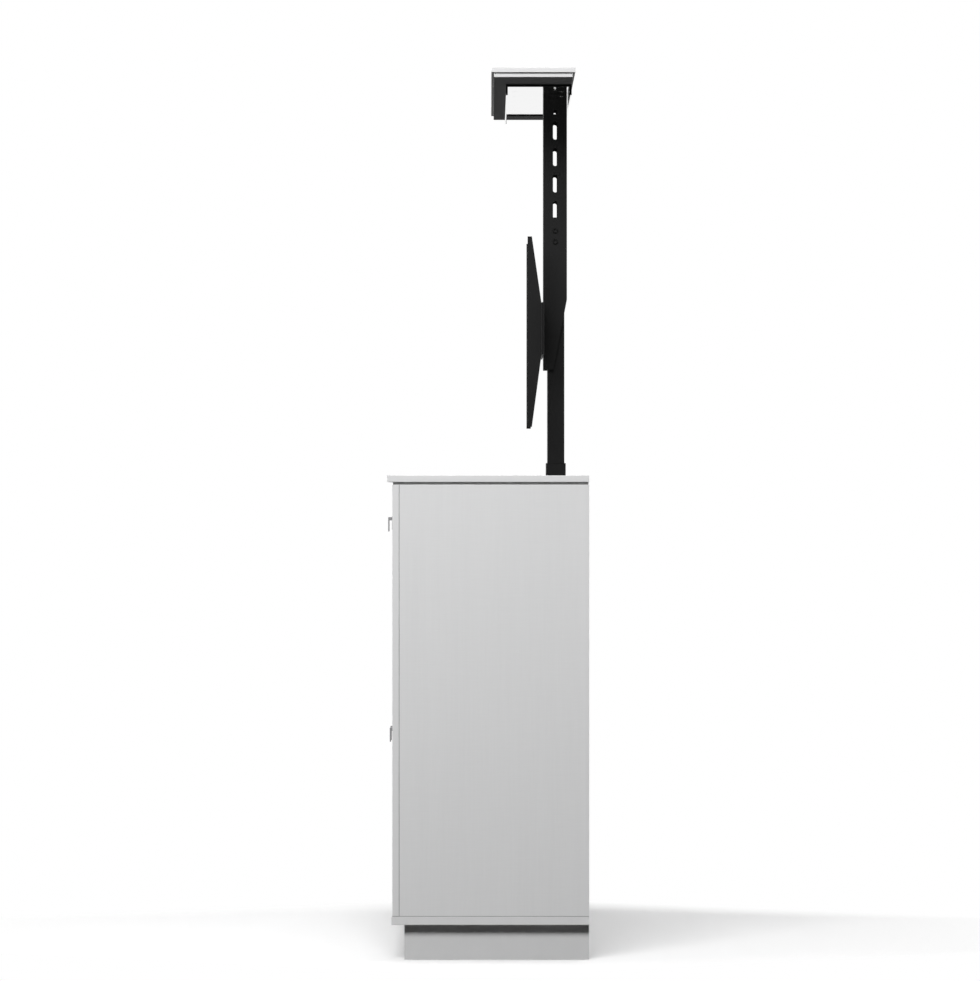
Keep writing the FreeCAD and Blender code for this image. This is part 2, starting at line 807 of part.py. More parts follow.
def mast_bolt(sign, z):
    shank_length = "(mast_width - inner_width) / 2 + inner_wall"
    shank_in, face = "(inner_width / 2 - inner_wall)", "mast_width / 2"
    shank_start = shank_in if sign == "1" else f"-({face})"
    head_start = face if sign == "1" else f"-({face}) - bolt_head"
    return joined(
        rod("bolt_radius", shank_length, shank_start, "slot_y", z, ALONG_X),
        rod("bolt_head_radius", "bolt_head", head_start, "slot_y", z, ALONG_X),
    )


node("mast_spacers", group(*[spacer_block(sign) for sign in SIDES.values()]))
bolts = [mast_bolt(sign, z) for sign in SIDES.values() for z in bolt_places]

# Television bracket: a lipped plate on the mast, and two arms with hanging slots
plate_z = ("mount_z - plate_height / 2", "mount_z + plate_height / 2")
plate_front = "(mast_front - plate_depth)"
plate = block(half_span("plate_width / 2"), (plate_front, "mast_front"), plate_z)
plate_hollow = block(
    half_span("plate_width / 2 + overrun"),
    (f"{plate_front} + plate_sheet", "mast_front + overrun"),
    (f"{plate_z[0]} + plate_sheet", f"{plate_z[1]} - plate_sheet"),
)
mount_places = [
    (f"{x} * arm_spacing / 2", f"mount_z + {z} * mount_bolt_spread / 2")
    for x in SIDES.values()
    for z in SIDES.values()
]
mount_bores = [
    rod("bolt_radius + bore_gap", "plate_sheet + 2 * overrun", x, f"{plate_front} - overrun", z, ALONG_Y)
    for x, z in mount_places
]
node("mount_plate", cut(plate, plate_hollow, *mount_bores))

arm_outline = [
    ("0", "0"),
    ("arm_end_depth", "0"),
    ("arm_depth", "arm_height / 2 + arm_drop - arm_flat / 2"),
    ("arm_depth", "arm_height / 2 + arm_drop + arm_flat / 2"),
    ("arm_end_depth", "arm_height"),
    ("0", "arm_height"),
]
for side, sign in SIDES.items():
    arm_x = f"{sign} * arm_spacing / 2"
    arm = prism(f"arm_{side}", arm_outline, "arm_width", f"{arm_x} - arm_width / 2", "arm_front", "arm_low")
    hollow = block(
        (f"{arm_x} - arm_width / 2 + arm_sheet", f"{arm_x} + arm_width / 2 - arm_sheet"),
        ("arm_front + arm_sheet", "arm_front + arm_depth - arm_sheet"),
        ("arm_low - overrun", "arm_low + arm_height + overrun"),
    )
    hang_y, hang_reach = "arm_front - overrun", "arm_sheet + 2 * overrun"
    holes = []
    for end in SIDES.values():
        middle = f"arm_low + arm_height / 2 + {end}"
        hole_z = f"{middle} * (arm_height / 2 - hang_hole_end)"
        holes.append(rod("hang_hole_radius", hang_reach, arm_x, hang_y, hole_z, ALONG_Y))
        slot_z = f"{middle} * (arm_height / 2 - hang_slot_end)"
        size = ("hang_slot_width", "hang_slot_length", hang_reach)
        holes.append(long_slot(arm_x, hang_y, slot_z, *size, ALONG_Y))
    node(f"tv_arm_{side}", cut(arm, hollow, *holes, *mount_bores))


def mount_bolt(x, z):
    arm_back = f"({plate_front} - arm_sheet)"
    shank_length = "arm_sheet + plate_sheet"
    return joined(
        rod("bolt_radius", shank_length, x, arm_back, z, ALONG_Y),
        rod("bolt_head_radius", "bolt_head", x, f"{arm_back} - bolt_head", z, ALONG_Y),
    )


bolts += [mount_bolt(x, z) for x, z in mount_places]
node("lift_bolts", group(*bolts))

# Lid: a top board with a plug under it that fills the opening, a dark backing and a steel tray
lid = block(half_span("lid_half"), ("lid_front", "lid_back"), ("lip_z", "lid_z"))
node("lid_top", eased(lid, "top_ease"))
plug_y = ("plug_front", "plug_back")
node("lid_plug", cut(block(half_span("plug_half"), plug_y, ("plug_z", "lip_z")), screw_bores))
node("lid_backing", cut(block(half_span("plug_half"), plug_y, ("backing_z", "plug_z")), screw_bores))
seal_z = ("lip_z - seal_thick", "lip_z")
seal = block(
    half_span("plug_half + seal_width"), ("plug_front - seal_width", "plug_back + seal_width"), seal_z
)
seal_hole = block(
    half_span("plug_half + bore_gap"),
    ("plug_front - bore_gap", "plug_back + bore_gap"),
    ("lip_z - seal_thick - overrun", "lip_z + overrun"),
)
node("lid_seal", cut(seal, seal_hole))
tray_low = "backing_z - tray_height"
tray = block(half_span("tray_length / 2"), ("tray_front", "tray_back"), (tray_low, "backing_z"))
tray_hollow = block(
    half_span("tray_length / 2 + overrun"),
    ("tray_front + tray_sheet", "tray_back - tray_sheet"),
    (f"{tray_low} - overrun", "tray_z"),
)
node("lid_tray", cut(tray, tray_hollow, screw_bores))
node("lid_screws", group(*[lid_screw(*place) for place in screw_places()]))

doc.recompute()
for thing in doc.Objects:
    if "Invalid" in thing.State or "Error" in thing.State:
        raise RuntimeError(f"{thing.Label} failed: {thing.State}")
for thing in nodes:
    if thing.Shape.isNull() or not thing.Shape.isValid():
        raise RuntimeError(f"{thing.Label} has no valid shape")

os.makedirs("parts", exist_ok=True)
for thing in nodes:
    thing.Shape.exportStep(f"parts/{thing.Label}.step")
print(len(nodes), "nodes written")
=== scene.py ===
import math

import bmesh
import bpy
import numpy as np
from bpy.props import FloatProperty, FloatVectorProperty, IntProperty, PointerProperty
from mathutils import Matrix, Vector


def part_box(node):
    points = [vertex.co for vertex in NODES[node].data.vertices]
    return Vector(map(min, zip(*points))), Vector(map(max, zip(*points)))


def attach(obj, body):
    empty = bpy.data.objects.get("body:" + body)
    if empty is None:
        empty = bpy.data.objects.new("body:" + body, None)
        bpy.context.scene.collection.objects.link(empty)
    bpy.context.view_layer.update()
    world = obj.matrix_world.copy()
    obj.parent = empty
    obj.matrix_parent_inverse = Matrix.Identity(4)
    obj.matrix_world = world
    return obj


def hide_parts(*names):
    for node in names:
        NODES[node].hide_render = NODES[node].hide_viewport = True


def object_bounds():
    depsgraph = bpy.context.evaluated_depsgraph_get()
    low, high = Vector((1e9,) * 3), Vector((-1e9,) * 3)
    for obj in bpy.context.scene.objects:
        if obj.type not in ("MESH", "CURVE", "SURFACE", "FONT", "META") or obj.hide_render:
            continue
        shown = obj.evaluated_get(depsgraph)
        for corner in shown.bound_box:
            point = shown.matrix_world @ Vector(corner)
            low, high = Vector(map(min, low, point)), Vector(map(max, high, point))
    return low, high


bl_info = {
    "name": "TV lift cabinet",
    "version": (1, 0, 0),
    "blender": (4, 5, 0),
    "location": "3D View > Sidebar > Cabinet",
    "description": "Finishes, fittings and studio for a cabinet that raises a television out of its top",
    "category": "Object",
}

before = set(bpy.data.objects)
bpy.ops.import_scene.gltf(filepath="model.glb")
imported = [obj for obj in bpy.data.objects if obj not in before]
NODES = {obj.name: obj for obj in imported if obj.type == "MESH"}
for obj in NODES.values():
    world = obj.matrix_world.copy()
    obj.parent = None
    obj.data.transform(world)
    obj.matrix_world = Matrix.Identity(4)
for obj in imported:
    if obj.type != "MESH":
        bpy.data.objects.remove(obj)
CAD_BOX = [list(corner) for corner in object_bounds()]
COLUMNS = ("left", "middle", "right")

# Sizes of CAD pieces that their boxes don't tell, in metres
PIN_RADIUS = 0.0025
TRAY_SHEET = 0.003
BOLT_SHANK = 0.004


# Sizes and colours that a user would change


class BoardFinish(bpy.types.PropertyGroup):
    laminate: FloatVectorProperty(
        name="Laminate",
        description="Colour of the white boards",
        subtype="COLOR",
        min=0,
        max=1,
        default=(0.735, 0.737, 0.74),
    )
    inside: FloatVectorProperty(
        name="Inside",
        description="Colour of the boards inside the cabinet",
        subtype="COLOR",
        min=0,
        max=1,
        default=(0.6, 0.6, 0.595),
    )
    drawer: FloatVectorProperty(
        name="Drawer boards",
        description="Colour of the drawer boxes",
        subtype="COLOR",
        min=0,
        max=1,
        default=(0.55, 0.47, 0.36),
    )
    grain: FloatProperty(
        name="Grain",
        description="How much darker the grain is than the board",
        subtype="FACTOR",
        min=0,
        max=1,
        default=0.035,
    )
    # painted shade: width of the dark line that stands for the shade inside the gaps at a side's joints
    seam: FloatProperty(
        name="Seam",
        description="Width of the dark line where a side meets the frame and the floor",
        unit="LENGTH",
        default=0.0012,
    )
    pin_pitch: FloatProperty(
        name="Pin pitch",
        description="Distance between the holes for shelf pins",
        unit="LENGTH",
        default=0.032,
    )


class MetalFinish(bpy.types.PropertyGroup):
    coat: FloatVectorProperty(
        name="Powder coat",
        description="Colour of the mast, bracket and base",
        subtype="COLOR",
        min=0,
        max=1,
        default=(0.0078, 0.0078, 0.0079),
    )
    tube: FloatVectorProperty(
        name="Tubes",
        description="Colour of the telescopic tubes",
        subtype="COLOR",
        min=0,
        max=1,
        default=(0.0078, 0.0078, 0.0079),
    )
    plate: FloatVectorProperty(
        name="Tray",
        description="Colour of the bright tray under the lid",
        subtype="COLOR",
        min=0,
        max=1,
        default=(0.71, 0.71, 0.71),
    )
    pull: FloatVectorProperty(
        name="Pulls",
        description="Colour of the drawer and door pulls",
        subtype="COLOR",
        min=0,
        max=1,
        default=(0.26, 0.26, 0.265),
    )


class FittingSizes(bpy.types.PropertyGroup):
    bolt_head: FloatProperty(
        name="Bolt head", description="Radius of the bolt heads", unit="LENGTH", default=0.0065
    )
    bolt_height: FloatProperty(
        name="Bolt height", description="Height of the bolt heads", unit="LENGTH", default=0.0055
    )
    screw_head: FloatProperty(
        name="Screw head", description="Radius of the lid's screw heads", unit="LENGTH", default=0.005
    )
    screw_height: FloatProperty(
        name="Screw height", description="Height of the lid's screw heads", unit="LENGTH", default=0.0016
    )
    lead: FloatProperty(
        name="Screw lead", description="Travel for each turn of the lift screw", unit="LENGTH", default=0.02
    )
    starts: IntProperty(name="Starts", description="Number of threads on the lift screw", min=1, default=4)
    motor_ribs: IntProperty(
        name="Motor ribs", description="Number of ribs round the motor", min=3, default=24
    )


class StudioSetup(bpy.types.PropertyGroup):
    distance: FloatProperty(
        name="Distance",
        description="Distance of the camera from the cabinet's near side",
        unit="LENGTH",
        default=12.8,
    )
    height: FloatProperty(name="Height", description="Height of the camera", unit="LENGTH", default=1.062)
    offset: FloatProperty(
        name="Offset", description="Place of the camera from front to back", unit="LENGTH", default=0.0053
    )
    focal: FloatProperty(name="Focal length", description="Focal length in picture widths", default=5.78)
    sky: FloatProperty(name="Room light", description="Strength of the even light all round", default=0.03)
    far_sky: FloatProperty(
        name="Far side light", description="Strength of the light from beyond the far side", default=1.0
    )
    top: FloatProperty(
        name="Top light", description="Power of the large light above", subtype="POWER", default=40
    )
    fill: FloatProperty(
        name="Fill lights",
        description="Power of each low light, one on the front and one on the back",
        subtype="POWER",
        default=185,
    )
    side: FloatProperty(
        name="Side light", description="Power of the light on the near side", subtype="POWER", default=219
    )
    floor_glow: FloatProperty(
        name="Floor white",
        description="Share of the floor's white that no shadow darkens",
        subtype="FACTOR",
        min=0,
        max=1,
        default=0.02,
    )


# Meshes from whole arrays


def skin(name, sheets, body, finish, smooth=True):
    """A piece made of sheets, each a (rows, columns, 3) grid of points and a flag that closes its columns."""
    points, faces, start = [], [], 0
    for grid, closed in sheets:
        rows, columns = grid.shape[:2]
        index = np.arange(rows * columns).reshape(rows, columns) + start
        if closed:
            index = np.concatenate([index, index[:, :1]], axis=1)
        corners = (index[:-1, :-1], index[:-1, 1:], index[1:, 1:], index[1:, :-1])
        faces.append(np.stack(corners, axis=-1).reshape(-1, 4))
        points.append(grid.reshape(-1, 3))
        start += rows * columns
    mesh = bpy.data.meshes.new(name)
    mesh.from_pydata(np.concatenate(points), [], np.concatenate(faces))
    work = bmesh.new()
    work.from_mesh(mesh)
    bmesh.ops.remove_doubles(work, verts=work.verts, dist=1e-6)
    bmesh.ops.dissolve_degenerate(work, edges=work.edges, dist=1e-7)
    bmesh.ops.recalc_face_normals(work, faces=work.faces)
    work.to_mesh(mesh)
    work.free()
    mesh.polygons.foreach_set("use_smooth", np.full(len(mesh.polygons), smooth))
    if smooth:
        mesh.set_sharp_from_angle(angle=math.radians(35))
    piece = bpy.data.objects.new(name, mesh)
    bpy.context.scene.collection.objects.link(piece)
    mesh.materials.append(finish)
    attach(piece, body)
    return piece


def lathe(profile, turns):
    """A profile of (radius, height) points turned about Z. A radius may also be an array over the angles."""
    angle = np.linspace(0, 2 * np.pi, turns, endpoint=False)
    radius = np.stack([np.broadcast_to(r, angle.shape) for r, _ in profile])
    height = np.stack([np.broadcast_to(h, angle.shape) for _, h in profile])
    return np.stack([radius * np.cos(angle), radius * np.sin(angle), height], axis=-1)


def placed(grid, origins, axes):
    """Copies of a grid, each with its Z along an axis and its origin at a place."""
    axes = np.asarray(axes, dtype=float)
    helper = np.where(np.abs(axes[:, 2:]) > 0.9, [[1.0, 0, 0]], [[0, 0, 1.0]])
    across = np.cross(helper, axes)
    across /= np.linalg.norm(across, axis=1, keepdims=True)
    basis = np.stack([across, np.cross(axes, across), axes], axis=1)
    return np.einsum("rcj,njk->nrck", grid, basis) + np.asarray(origins, dtype=float)[:, None, None]


def hexagon(reach, turns):
    """Radius of a hexagon with that inner radius, over the angles of a lathe."""
    angle = np.linspace(0, 2 * np.pi, turns, endpoint=False)
    return reach / np.cos((angle + np.pi / 6) % (np.pi / 3) - np.pi / 6)


def cross_slot(reach, turns):
    """Radius of a cross recess with four lobes, over the angles of a lathe."""
    angle = np.linspace(0, 2 * np.pi, turns, endpoint=False)
    return reach * (0.45 + 0.55 * np.abs(np.cos(2 * angle)) ** 3)


def socket_head(radius, height, shank, reach, turns=36):
    """A domed head with a six-sided socket, on a plain shank that runs back along -Z."""
    socket = hexagon(0.45 * radius, turns)
    profile = [
        (0.0, 0.35 * height),
        (socket, 0.35 * height),
        (socket, 0.97 * height),
        (0.60 * radius, height),
        (0.85 * radius, 0.86 * height),
        (0.97 * radius, 0.62 * height),
        (radius, 0.40 * height),
        (radius, 0.0),
        (shank, 0.0),
        (shank, -reach),
        (0.0, -reach),
    ]
    return lathe(profile, turns)


def flush_head(radius, height, shank, reach, turns=32):
    """A flat head with a cross recess, let in below Z = 0, on a plain shank that runs on along -Z."""
    slot = cross_slot(0.45 * radius, turns)
    profile = [
        (0.0, -0.6 * height),
        (0.8 * slot, -0.6 * height),
        (slot, 0.0),
        (0.94 * radius, 0.0),
        (radius, -0.1 * height),
        (radius, -height),
        (shank, -height),
        (shank, -reach),
        (0.0, -reach),
    ]
    return lathe(profile, turns)


def corners(node):
    """A node's box as two arrays, lowest corner and highest corner."""
    low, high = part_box(node)
    return np.array(low), np.array(high)


# Finishes from nodes


class Weave:
    """A node tree that is put together one node at a time."""

    def __init__(self, tree):
        self.tree = tree
        self.place = tree.nodes.new("ShaderNodeTexCoord").outputs["Object"]

    def add(self, kind, *links, settings=None, **values):
        """A node with inputs by name or number: another node's output is linked, anything else is set."""
        node = self.tree.nodes.new(kind)
        for key, value in (settings or {}).items():
            setattr(node, key, value)
        for number, value in enumerate(links):
            self.join(node.inputs[number], value)
        for key, value in values.items():
            self.join(node.inputs[key.replace("_", " ")], value)
        return node

    def join(self, socket, value):
        if isinstance(value, bpy.types.NodeSocket):
            self.tree.links.new(value, socket)
        elif value is not None:
            socket.default_value = value

    def sum(self, operation, *values, clamp=False):
        node = self.add("ShaderNodeMath", *values, settings={"operation": operation, "use_clamp": clamp})
        return node.outputs[0]

    def stretched(self, scale, size, detail=3.0, roughness=0.55):
        """Noise stretched along an axis, from 0 to 1."""
        mapping = self.add("ShaderNodeMapping", Vector=self.place, Scale=scale)
        noise = self.add(
            "ShaderNodeTexNoise", Vector=mapping.outputs[0], Scale=size, Detail=detail, Roughness=roughness
        )
        return noise.outputs["Fac"]

    def range(self, value, low, high, start=0.0, end=1.0):
        node = self.add("ShaderNodeMapRange", value, start, end, low, high)
        return node.outputs[0]

    def blend(self, share, first, second):
        settings = {"data_type": "RGBA", "blend_type": "MIX"}
        node = self.add("ShaderNodeMix", settings=settings)
        self.join(node.inputs["Factor"], share)
        self.join(node.inputs[6], first)
        self.join(node.inputs[7], second)
        return node.outputs[2]

    def bump(self, height, strength, distance):
        return self.add("ShaderNodeBump", Strength=strength, Distance=distance, Height=height).outputs[0]


def finish(name):
    """A new material, its shader and the weave of its nodes."""
    material = bpy.data.materials.new(name)
    material.use_nodes = True
    return material, material.node_tree.nodes["Principled BSDF"], Weave(material.node_tree)


def tint(colour, share):
    """A colour made lighter or darker by a share."""
    return (*[min(1.0, c * share) for c in colour], 1.0)


def set_plain(shader, **values):
    for key, value in values.items():
        shader.inputs[key.replace("_", " ")].default_value = value


def board_finish(name, colour, grain, along, roughness, pin_rows=None, shaded_gaps=()):
    """Printed board: long grain along an axis, a fine weave across it and a faint emboss.

    Pin rows are (pitch, places along Y, reach in X) of shelf-pin holes, painted as near-black discs: painted
    shade for the inside of each hole.
    Shaded gaps are (axis, place, width): lines along a joint, painted darker as painted shade for the shade
    inside the gap.
    """
    material, shader, weave = finish(name)
    stretch = [1.0, 1.0, 1.0]
    stretch["XYZ".index(along)] = 0.035
    cross = [0.05 if axis != along else 1.0 for axis in "XYZ"]
    long_grain = weave.stretched(stretch, 260.0, 4.0, 0.6)
    broad = weave.stretched(stretch, 34.0, 2.0)
    thread = weave.stretched(cross, 420.0, 2.0)
    mixed = weave.sum("MULTIPLY_ADD", broad, 0.3, weave.sum("MULTIPLY", long_grain, 0.4))
    mixed = weave.sum("MULTIPLY_ADD", thread, 0.3, mixed)
    share = weave.range(mixed, 0.0, 1.0, 0.3, 0.7)
    colour_out = weave.blend(share, tint(colour, 1.0 - grain), tint(colour, 1.0 + 0.35 * grain))
    if pin_rows:
        pitch, places, reach = pin_rows
        split = weave.add("ShaderNodeSeparateXYZ", weave.place)
        x, y, z = split.outputs
        step = weave.sum("SUBTRACT", weave.sum("FRACT", weave.sum("DIVIDE", z, pitch)), 0.5)
        rise = weave.sum("MULTIPLY", step, pitch)
        away = [weave.sum("ABSOLUTE", weave.sum("SUBTRACT", y, place)) for place in places]
        gap = weave.sum("MINIMUM", *away)
        square = weave.sum("MULTIPLY_ADD", gap, gap, weave.sum("MULTIPLY", rise, rise))
        hole_radius, lowest, highest = 0.0024, 0.29, 0.70
        painted_hole_shade = weave.sum("LESS_THAN", square, hole_radius**2)
        for value, low, high in ((z, lowest, highest), (weave.sum("ABSOLUTE", x), 0.0, reach)):
            painted_hole_shade = weave.sum("MULTIPLY", painted_hole_shade, weave.sum("GREATER_THAN", value, low))
            painted_hole_shade = weave.sum("MULTIPLY", painted_hole_shade, weave.sum("LESS_THAN", value, high))
        # painted shade: each hole is a near-black disc that stands for the shade inside the drilled hole
        colour_out = weave.blend(painted_hole_shade, colour_out, (0.03, 0.03, 0.03, 1.0))
    # painted shade: a darker line along each joint, standing for the shade inside its gap
    for axis, place, width in shaded_gaps:
        line = weave.add("ShaderNodeSeparateXYZ", weave.place).outputs["XYZ".index(axis)]
        near = weave.sum("LESS_THAN", weave.sum("ABSOLUTE", weave.sum("SUBTRACT", line, place)), width)
        colour_out = weave.blend(near, colour_out, tint(colour, 0.35))
    weave.join(shader.inputs["Base Color"], colour_out)
    weave.join(shader.inputs["Roughness"], weave.range(long_grain, roughness - 0.05, roughness + 0.06))
    weave.join(shader.inputs["Normal"], weave.bump(mixed, 0.10, 0.0003))
    set_plain(shader, Specular_IOR_Level=0.25)
    return material


def coat_finish(name, colour, roughness):
    """Powder coat: a fine orange-peel bump, and gloss that varies a little."""
    material, shader, weave = finish(name)
    peel = weave.stretched((1.0, 1.0, 1.0), 900.0, 2.0)
    cloud = weave.stretched((1.0, 1.0, 1.0), 9.0, 3.0)
    weave.join(shader.inputs["Base Color"], weave.blend(cloud, tint(colour, 0.85), tint(colour, 1.2)))
    weave.join(shader.inputs["Roughness"], weave.range(peel, roughness - 0.06, roughness + 0.08))
    weave.join(shader.inputs["Normal"], weave.bump(peel, 0.25, 0.00012))
    set_plain(shader, Specular_IOR_Level=0.08)
    return material


def metal_finish(name, colour, roughness, along, spread=0.05):
    """Bare metal with fine brush lines along an axis."""
    material, shader, weave = finish(name)
    stretch = [1.0, 1.0, 1.0]
    stretch["XYZ".index(along)] = 0.01
    lines = weave.stretched(stretch, 1400.0, 3.0, 0.6)
    cloud = weave.stretched((1.0, 1.0, 1.0), 12.0, 2.0)
    weave.join(shader.inputs["Base Color"], weave.blend(cloud, tint(colour, 0.96), tint(colour, 1.03)))
    weave.join(shader.inputs["Roughness"], weave.range(lines, roughness - spread, roughness + spread))
    weave.join(shader.inputs["Normal"], weave.bump(lines, 0.04, 0.00005))
    set_plain(shader, Metallic=1.0)
    return material


def plastic_finish(name, colour, roughness, size=700.0, gloss=0.4):
    """Moulded plastic with a fine spark-eroded grain."""
    material, shader, weave = finish(name)
    spark = weave.stretched((1.0, 1.0, 1.0), size, 3.0, 0.7)
    weave.join(shader.inputs["Base Color"], weave.blend(spark, tint(colour, 0.8), tint(colour, 1.2)))
    weave.join(shader.inputs["Roughness"], weave.range(spark, roughness - 0.05, roughness + 0.1))
    weave.join(shader.inputs["Normal"], weave.bump(spark, 0.3, 0.0001))
    set_plain(shader, Specular_IOR_Level=gloss)
    return material


def wear(material, *names):
    for name in names:
        mesh = NODES[name].data
        mesh.materials.clear()
        mesh.materials.append(material)


def each(word):
    return [f"{word}_{column}" for column in COLUMNS]


def pin_places():
    """Places along Y of the two rows of shelf pins."""
    low, high = corners("shelf_pins")
    return low[1] + PIN_RADIUS, high[1] - PIN_RADIUS


# Operators: finishes of the CAD nodes


class CABINET_OT_white_boards(bpy.types.Operator):
    """Gives the white laminate to every board that shows"""

    bl_idname = "cabinet.white_boards"
    bl_label = "White boards"

    def execute(self, context):
        look = context.scene.cabinet_boards
        low, high = corners("side_panel_right")
        # painted shade lines along the side's front and bottom edges, for the shade in the gaps of those
        # joints
        shaded_gaps = (("Y", low[1], look.seam), ("Z", low[2], look.seam))
        upright = board_finish("laminate_upright", look.laminate, look.grain, "Z", 0.42, shaded_gaps=shaded_gaps[1:])
        along = board_finish("laminate_along", look.laminate, look.grain, "X", 0.42)
        wear(upright, "stile_left", "stile_right", "inner_stiles", *each("door"), "back_panel")
        wear(along, "plinth_boards", "bottom_panel", "top_panel", "drawer_rails", *each("drawer_front"))
        wear(along, "lid_top", "lid_plug")
        gap = 0.0005
        rows = (look.pin_pitch, pin_places(), corners("partition_panel")[1][0] + gap)
        drilled = board_finish("laminate_drilled", look.laminate, look.grain, "Z", 0.42, rows, shaded_gaps)
        wear(drilled, "side_panel_left", "side_panel_right")
        return {"FINISHED"}


class CABINET_OT_inner_boards(bpy.types.Operator):
    """Gives the boards inside the cabinet and the drawer boxes their finishes"""

    bl_idname = "cabinet.inner_boards"
    bl_label = "Inner boards"

    def execute(self, context):
        look = context.scene.cabinet_boards
        whole_length = 1.0
        rows = (look.pin_pitch, pin_places(), whole_length)
        wear(board_finish("board_drilled", look.inside, look.grain, "Z", 0.5, rows), "dividers")
        wear(board_finish("board_inside", look.inside, look.grain, "X", 0.5), "partition_panel", "shelves")
        dark = [0.6 * c for c in look.inside]
        wear(board_finish("board_spacer", dark, look.grain, "X", 0.6), "sub_top_frame")
        wear(board_finish("drawer_boards", look.drawer, 2.5 * look.grain, "X", 0.5), *each("drawer_box"))
        return {"FINISHED"}


class CABINET_OT_metalwork(bpy.types.Operator):
    """Gives the lift, bracket, tray, pulls and runners their finishes"""

    bl_idname = "cabinet.metalwork"
    bl_label = "Metalwork"

    def execute(self, context):
        look = context.scene.cabinet_metals
        coat = coat_finish("black_coat", look.coat, 0.46)
        wear(coat, "mast", "mast_spacers", "mount_plate", "tv_arm_left", "tv_arm_right")
        wear(coat, "lift_base_plate", "lift_gearbox", "column_bracket")
        wear(coat_finish("tube_coat", look.tube, 0.4), "outer_tube", "middle_tube", "inner_tube")
        wear(metal_finish("bright_tray", look.plate, 0.06, "X", 0.02), "lid_tray")
        wear(metal_finish("satin_pull", look.pull, 0.3, "X"), *each("drawer_pull"), *each("door_pull"))
        zinc = metal_finish("zinc_plate", (0.5, 0.5, 0.51), 0.36, "Y")
        wear(zinc, *each("drawer_channel"), "drawer_runners", "door_pivot_pins", "shelf_pins")
        return {"FINISHED"}


class CABINET_OT_plastics(bpy.types.Operator):
    """Gives the grommets, catches, nut, lid backing and seal their finishes"""

    bl_idname = "cabinet.plastics"
    bl_label = "Plastics and rubber"

    def execute(self, context):
        wear(plastic_finish("black_plastic", (0.02, 0.02, 0.021), 0.5), "cable_grommets", "drive_nut")
        wear(plastic_finish("grey_plastic", (0.32, 0.32, 0.33), 0.45), "door_catches")
        wear(plastic_finish("lid_felt", (0.042, 0.042, 0.0425), 0.85, 1500.0, 0.05), "lid_backing")
        wear(plastic_finish("seal_rubber", (0.05, 0.05, 0.05), 0.7), "lid_seal")
        return {"FINISHED"}


# Operators: fittings worked out as surfaces


class CABINET_OT_bolts(bpy.types.Operator):
    """Socket-head bolts that hold the mast to the inner tube and the arms to the bracket plate"""

    bl_idname = "cabinet.bolts"
    bl_label = "Lift bolts"

    def execute(self, context):
        sizes = context.scene.cabinet_fittings
        spacer_low, spacer_high = corners("mast_spacers")
        mast_low, mast_high = corners("mast")
        middle = (spacer_low + spacer_high) / 2
        pair, arm_pair, arm_sheet = 0.013, 0.03, 0.0025
        mast_reach, arm_reach = 0.0199, 0.0054
        heights = middle[2] + np.array([-pair, pair])
        origins = [(x, middle[1], z) for x in (mast_low[0], mast_high[0]) for z in heights]
        axes = [(np.sign(x), 0, 0) for x, _, _ in origins]
        long_grid = socket_head(sizes.bolt_head, sizes.bolt_height, BOLT_SHANK, mast_reach)
        sheets = [(grid, True) for grid in placed(long_grid, origins, axes)]
        plate_low, plate_high = corners("mount_plate")
        plate_z = (plate_low[2] + plate_high[2]) / 2
        arms = [sum(corners(f"tv_arm_{side}")) / 2 for side in ("left", "right")]
        face = plate_low[1] - arm_sheet
        origins = [(arm[0], face, plate_z + rise) for arm in arms for rise in (-arm_pair, arm_pair)]
        short_grid = socket_head(sizes.bolt_head, sizes.bolt_height, BOLT_SHANK, arm_reach)
        sheets += [(grid, True) for grid in placed(short_grid, origins, [(0, -1, 0)] * len(origins))]
        dark = coat_finish("black_bolt", context.scene.cabinet_metals.coat, 0.4)
        piece = skin("bolt_heads", sheets, "top_stage", dark)
        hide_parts("lift_bolts")
        return {"FINISHED"}


class CABINET_OT_plate_caps(bpy.types.Operator):
    """Black caps on the open ends of the bracket plate"""

    bl_idname = "cabinet.plate_caps"
    bl_label = "Plate caps"

    def execute(self, context):
        low, high = corners("mount_plate")
        middle, half = (low + high) / 2, (high - low) / 2
        inset, corner = 0.0001, 0.001
        loop, out = rounded_loop(half[1] - inset, half[2] - inset, corner, 6)
        # each cap is that loop in the plate's section, carried out along X and drawn in at its rim
        steps = [(0.0, -0.001), (0.0, 0.0008), (0.0004, 0.0015)]
        black = plastic_finish("cap_plastic", (0.004, 0.004, 0.0041), 0.5, gloss=0.08)
        sheets = []
        for way in (-1, 1):
            rings = [
                np.insert(loop - drawn * out, 0, way * (half[0] + reach), axis=1) for drawn, reach in steps
            ]
            centre = np.zeros_like(rings[0]) + np.array([way * (half[0] + steps[-1][1]), 0, 0])
            grid = np.stack([*rings, centre]) + middle
            sheets.append((grid, True))
        skin("plate_end_caps", sheets, "top_stage", black)
        return {"FINISHED"}


